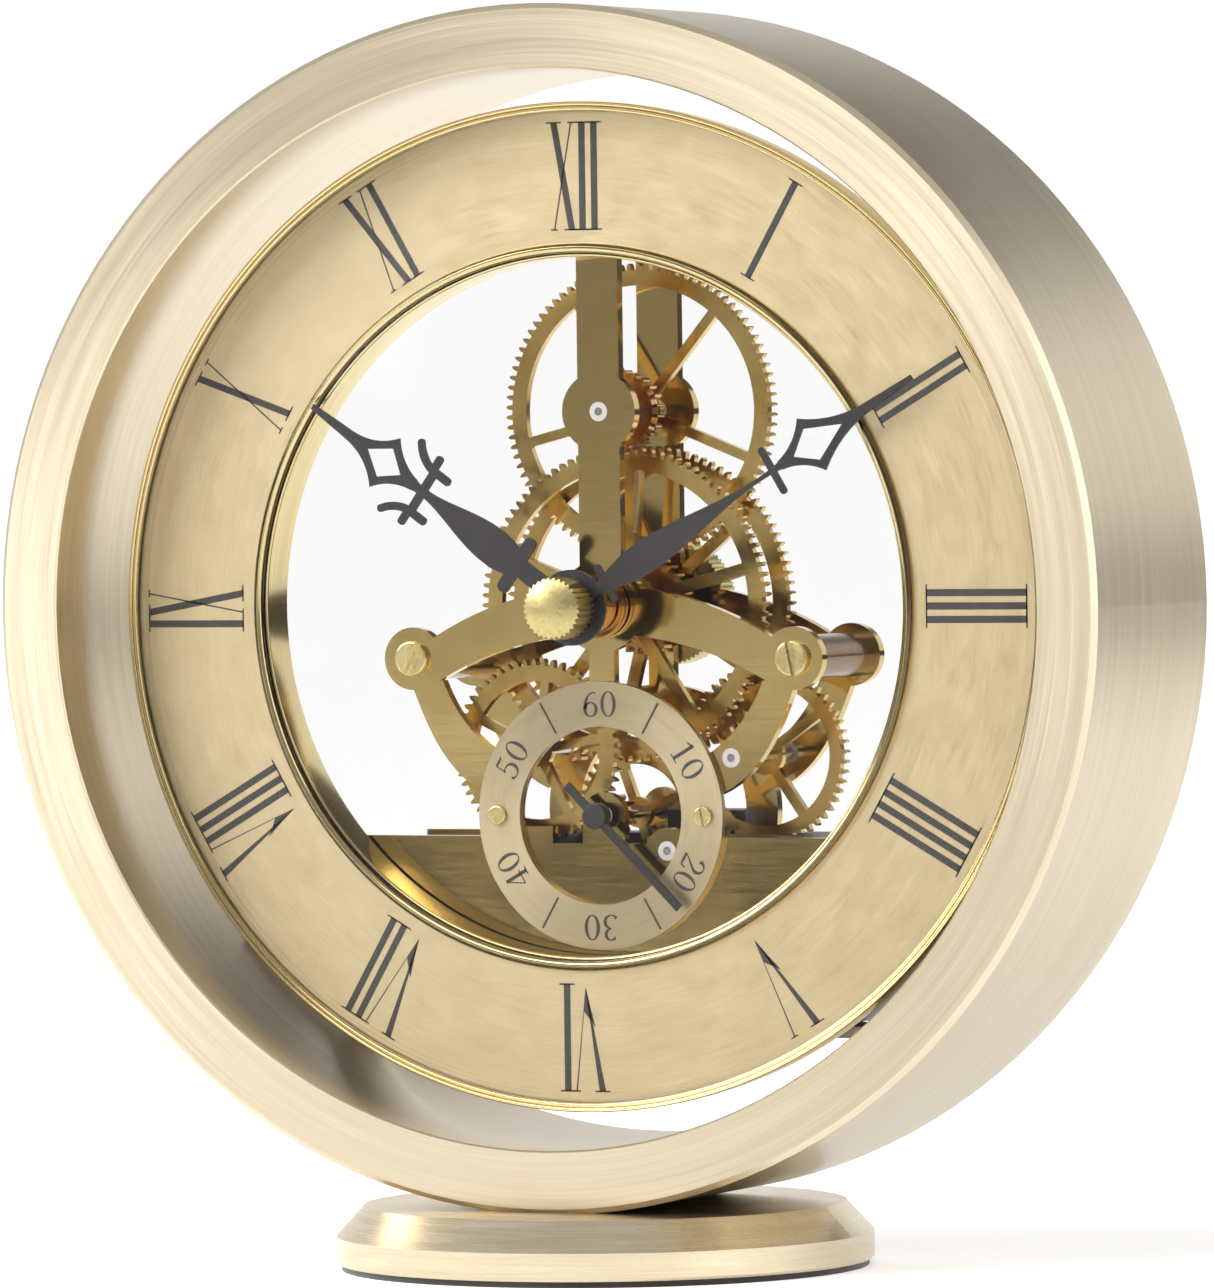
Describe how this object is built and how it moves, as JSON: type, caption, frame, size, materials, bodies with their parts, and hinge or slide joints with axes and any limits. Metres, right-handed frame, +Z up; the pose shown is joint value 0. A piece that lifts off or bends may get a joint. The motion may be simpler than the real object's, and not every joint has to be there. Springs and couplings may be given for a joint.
{
  "type": "skeleton clock",
  "caption": "Skeleton mantel clock: deep gold-tone ring on a round foot, ring dial with Roman numerals, open brass gear train, pierced hands and a battery module.",
  "frame": {"origin": "centre of the foot's underside, on the surface it stands on", "axes": "+Z up; the dial faces -Y; +X is to the right when facing the dial"},
  "size_m": [0.155, 0.0698, 0.163],
  "materials": {
    "ring_metal": "gold-tone anodised, fine circular brushing",
    "foot_metal": "gold-tone anodised, turned",
    "felt": "thin black felt",
    "dark_steel": "plain zinc plated",
    "dial_gold": "brushed and lacquered",
    "pan_metal": "plain mill finish",
    "polished_trim": "polished",
    "clear_glass": "clear, domed",
    "plate_brass": "polished and lacquered",
    "wheel_brass": "stamped, lightly polished",
    "pinion_brass": "cut, polished",
    "pillar_metal": "turned, coppery lacquer",
    "nylon": "white nylon",
    "arbor_steel": "turned and polished",
    "seconds_satin": "satin lacquered",
    "nut_brass": "polished, knurled",
    "screw_brass": "polished, slotted",
    "hand_black": "matt black paint",
    "case_plastic": "fine matt black",
    "copper_winding": "enamelled copper wire",
    "magnet": "sintered, dull",
    "board_green": "solder resist",
    "epoxy_black": "potting resin",
    "can_steel": "drawn can",
    "cell_wrap": "plain printed sleeve",
    "contact_steel": "nickel plated spring steel"
  },
  "bodies": {
    "root": {"outer_ring": "ring_metal", "foot_disc": "foot_metal", "foot_pad": "felt", "foot_screws": "dark_steel", "mounting_bracket": "dark_steel", "bracket_ring_screws": "dark_steel", "bracket_case_screws": "dark_steel", "dial_ring": "dial_gold", "dial_pan": "pan_metal", "dial_posts": "plate_brass", "dial_screws": "dark_steel", "dial_bezel": "polished_trim", "inner_trim": "polished_trim", "front_glass": "clear_glass", "front_plate": "plate_brass", "rear_plate": "plate_brass", "pivot_bushes": "nylon", "plate_pillars": "pillar_metal", "front_plate_screws": "screw_brass", "rear_plate_screws": "screw_brass", "case_screws": "dark_steel", "seconds_dial": "seconds_satin", "seconds_dial_screws": "screw_brass", "module_case": "case_plastic", "module_cover": "case_plastic", "motor_stator": "magnet", "motor_coil": "copper_winding", "circuit_board": "board_green", "potted_chip": "epoxy_black", "quartz_can": "can_steel", "battery": "cell_wrap", "battery_contacts": "contact_steel"},
    "seconds": {"seconds_arbor": "arbor_steel", "seconds_wheel": "wheel_brass", "seconds_pinion": "pinion_brass", "seconds_hand": "hand_black"},
    "third": {"third_arbor": "arbor_steel", "third_wheel": "wheel_brass", "third_pinion": "pinion_brass"},
    "minute": {"centre_arbor": "arbor_steel", "centre_wheel": "wheel_brass", "cannon_pinion": "pinion_brass", "minute_hand": "hand_black", "hand_nut": "nut_brass", "setting_knob": "nut_brass"},
    "hour": {"hour_pipe": "pinion_brass", "hour_wheel": "wheel_brass", "hour_hand": "hand_black"},
    "motion": {"motion_arbor": "arbor_steel", "motion_wheel": "wheel_brass", "motion_pinion": "pinion_brass"},
    "smoothing": {"smoothing_arbor": "arbor_steel", "smoothing_wheel": "wheel_brass"},
    "motor": {"motor_arbor": "arbor_steel", "motor_pinion": "nylon", "rotor_magnet": "magnet"}
  },
  "joints": [
    {"name": "seconds_turn", "type": "hinge", "parent": "root", "child": "seconds", "pos_m": [0, 0, 0.05835], "axis": [0, 1, 0], "continuous": true},
    {"name": "third_turn", "type": "hinge", "parent": "root", "child": "third", "pos_m": [-0.01108, 0, 0.06668], "axis": [0, 1, 0], "continuous": true},
    {"name": "minute_turn", "type": "hinge", "parent": "root", "child": "minute", "pos_m": [0, 0, 0.0855], "axis": [0, 1, 0], "continuous": true},
    {"name": "motion_turn", "type": "hinge", "parent": "root", "child": "motion", "pos_m": [0, 0, 0.1107], "axis": [0, 1, 0], "continuous": true},
    {"name": "hour_turn", "type": "hinge", "parent": "root", "child": "hour", "pos_m": [0, 0, 0.0855], "axis": [0, 1, 0], "continuous": true},
    {"name": "smoothing_turn", "type": "hinge", "parent": "root", "child": "smoothing", "pos_m": [0.01825, 0, 0.06587], "axis": [0, 1, 0], "continuous": true},
    {"name": "motor_turn", "type": "hinge", "parent": "root", "child": "motor", "pos_m": [0.009, 0, 0.05381], "axis": [0, 1, 0], "continuous": true}
  ],
  "couplings": [
    {"joint": "third_turn", "follows": "seconds_turn", "ratio": -0.2},
    {"joint": "minute_turn", "follows": "seconds_turn", "ratio": 0.016667},
    {"joint": "motion_turn", "follows": "seconds_turn", "ratio": -0.0055556},
    {"joint": "hour_turn", "follows": "seconds_turn", "ratio": 0.0013889},
    {"joint": "smoothing_turn", "follows": "seconds_turn", "ratio": -0.74074},
    {"joint": "motor_turn", "follows": "seconds_turn", "ratio": -5}
  ]
}
